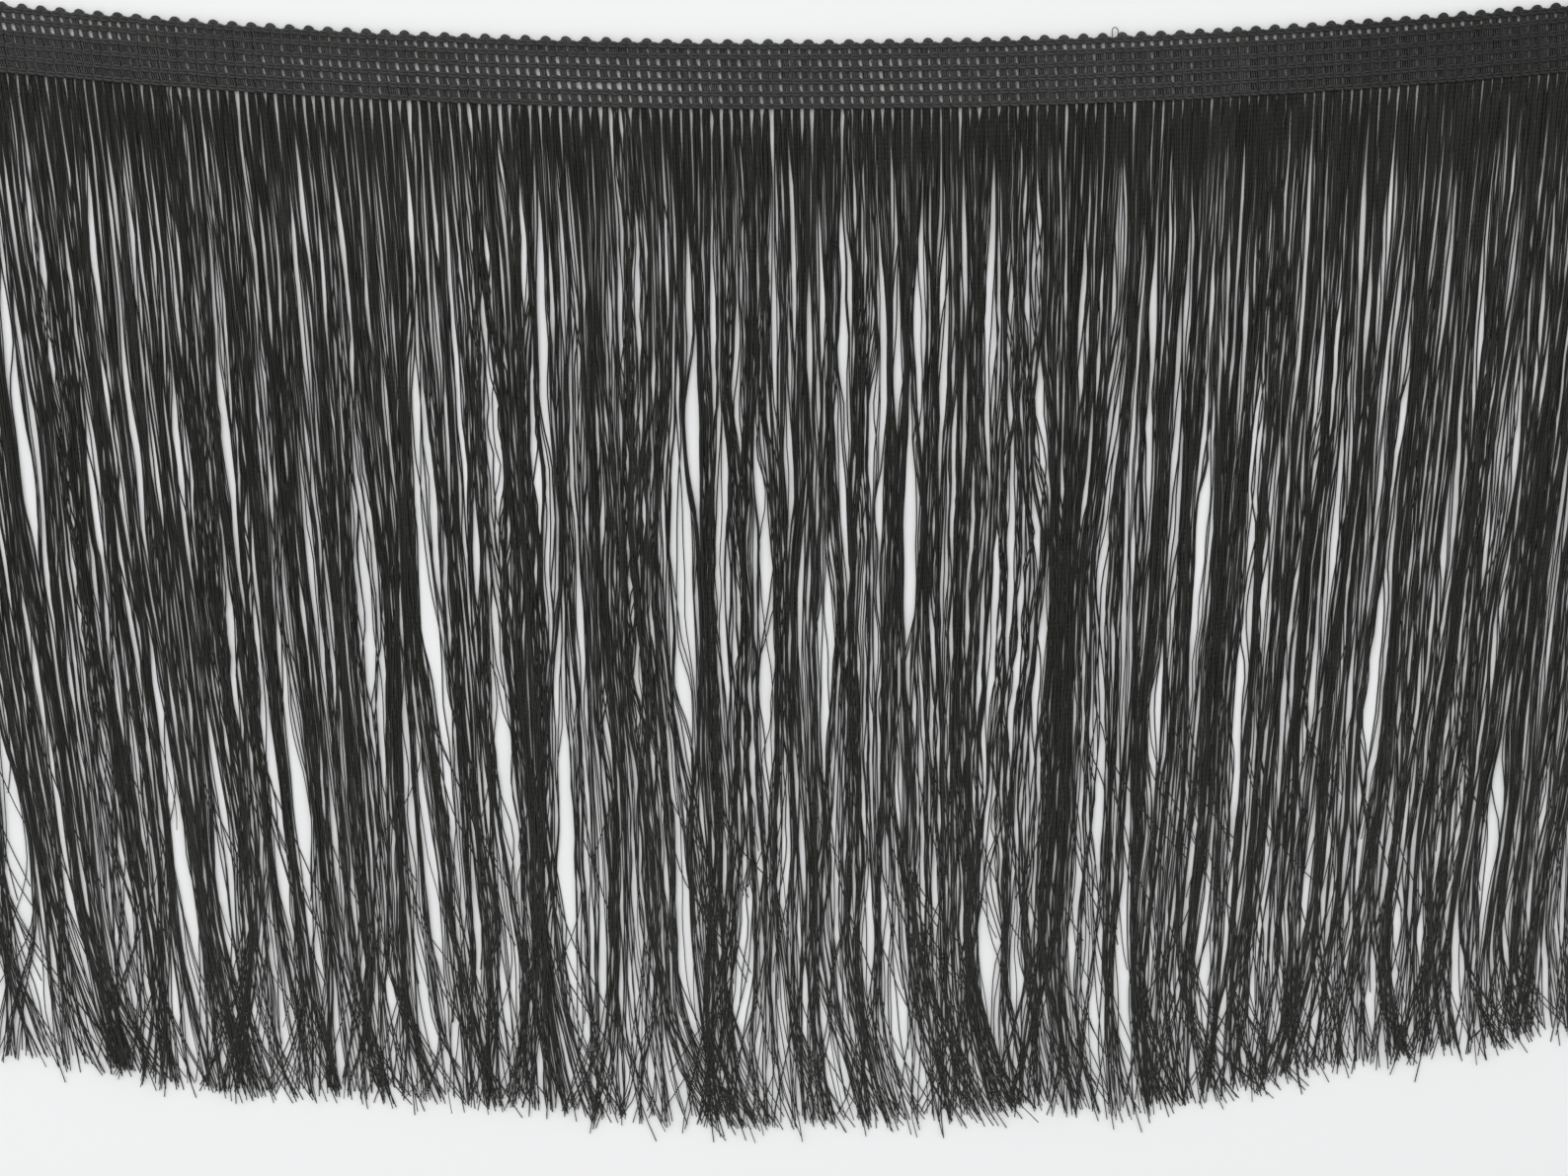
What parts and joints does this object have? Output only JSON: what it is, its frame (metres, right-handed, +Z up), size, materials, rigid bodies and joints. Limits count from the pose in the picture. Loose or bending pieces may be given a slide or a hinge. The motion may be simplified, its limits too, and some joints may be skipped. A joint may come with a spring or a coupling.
{
  "type": "tassel fringe trim",
  "caption": "Cut length of black thread fringe: a narrow crocheted heading with chain ribs and a scalloped edge, and long fine loose threads, lying flat and face up.",
  "frame": {"origin": "middle of the heading's flat back, which lies on the surface", "axes": "+X along the heading, +Y from the cut tips towards the scalloped edge, +Z up from the surface, out of the face"},
  "size_m": [0.2674, 0.1649, 0.0014],
  "materials": {
    "heading_yarn": "black crocheted polyester yarn, matt, slightly greyer than the threads",
    "fringe_thread": "black twisted polyester thread, soft low sheen"
  },
  "bodies": {
    "root": {"heading_band": "heading_yarn", "fringe": "fringe_thread"}
  },
  "joints": []
}
